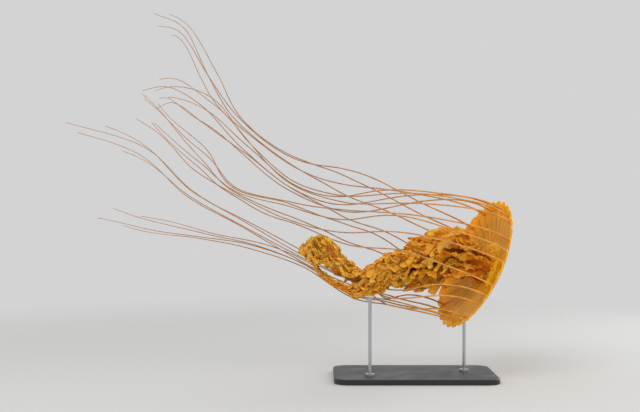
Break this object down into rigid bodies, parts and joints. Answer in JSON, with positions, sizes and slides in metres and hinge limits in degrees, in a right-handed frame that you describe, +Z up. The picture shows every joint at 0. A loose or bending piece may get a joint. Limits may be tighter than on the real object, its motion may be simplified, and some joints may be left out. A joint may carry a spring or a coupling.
{
  "type": "sea nettle jellyfish model",
  "caption": "Life-size still model of a sea nettle jellyfish: a wide scalloped bell, frilled oral arms and long trailing tentacles, held over a flat base by short rods.",
  "frame": {"origin": "centre of the underside of the stand's base", "axes": "+Z up; +X the way the animal swims, towards the bell; tentacles trail towards -X; +Y completes the right-handed frame"},
  "size_m": [0.8114, 0.248, 0.6834],
  "materials": {
    "bell_jelly": "wet translucent amber jelly",
    "arm_lace": "wet translucent golden frill",
    "tentacle_flesh": "wet reddish-amber cord of jelly",
    "stand_paint": "satin black paint",
    "stand_rod": "brushed"
  },
  "bodies": {
    "root": {"bell": "bell_jelly", "oral_arm_1_lower": "arm_lace", "oral_arm_1_upper": "arm_lace", "oral_arm_2_lower": "arm_lace", "oral_arm_2_upper": "arm_lace", "oral_arm_3_lower": "arm_lace", "oral_arm_3_upper": "arm_lace", "oral_arm_4_lower": "arm_lace", "oral_arm_4_upper": "arm_lace", "stand_base": "stand_paint", "stand_rod_arms": "stand_rod", "stand_rod_bell": "stand_rod", "tentacle_01_root": "tentacle_flesh", "tentacle_01_trail": "tentacle_flesh", "tentacle_02_root": "tentacle_flesh", "tentacle_02_trail": "tentacle_flesh", "tentacle_03_root": "tentacle_flesh", "tentacle_03_trail": "tentacle_flesh", "tentacle_05_root": "tentacle_flesh", "tentacle_05_trail": "tentacle_flesh", "tentacle_06_root": "tentacle_flesh", "tentacle_06_trail": "tentacle_flesh", "tentacle_07_root": "tentacle_flesh", "tentacle_07_trail": "tentacle_flesh", "tentacle_09_root": "tentacle_flesh", "tentacle_09_trail": "tentacle_flesh", "tentacle_10_root": "tentacle_flesh", "tentacle_10_trail": "tentacle_flesh", "tentacle_11_root": "tentacle_flesh", "tentacle_11_trail": "tentacle_flesh", "tentacle_13_root": "tentacle_flesh", "tentacle_13_trail": "tentacle_flesh", "tentacle_14_root": "tentacle_flesh", "tentacle_14_trail": "tentacle_flesh", "tentacle_15_root": "tentacle_flesh", "tentacle_15_trail": "tentacle_flesh", "tentacle_17_root": "tentacle_flesh", "tentacle_17_trail": "tentacle_flesh", "tentacle_18_root": "tentacle_flesh", "tentacle_18_trail": "tentacle_flesh", "tentacle_19_root": "tentacle_flesh", "tentacle_19_trail": "tentacle_flesh", "tentacle_21_root": "tentacle_flesh", "tentacle_21_trail": "tentacle_flesh", "tentacle_22_root": "tentacle_flesh", "tentacle_22_trail": "tentacle_flesh", "tentacle_23_root": "tentacle_flesh", "tentacle_23_trail": "tentacle_flesh", "tentacle_25_root": "tentacle_flesh", "tentacle_25_trail": "tentacle_flesh", "tentacle_26_root": "tentacle_flesh", "tentacle_26_trail": "tentacle_flesh", "tentacle_27_root": "tentacle_flesh", "tentacle_27_trail": "tentacle_flesh", "tentacle_29_root": "tentacle_flesh", "tentacle_29_trail": "tentacle_flesh", "tentacle_30_root": "tentacle_flesh", "tentacle_30_trail": "tentacle_flesh", "tentacle_31_root": "tentacle_flesh", "tentacle_31_trail": "tentacle_flesh"}
  },
  "joints": []
}
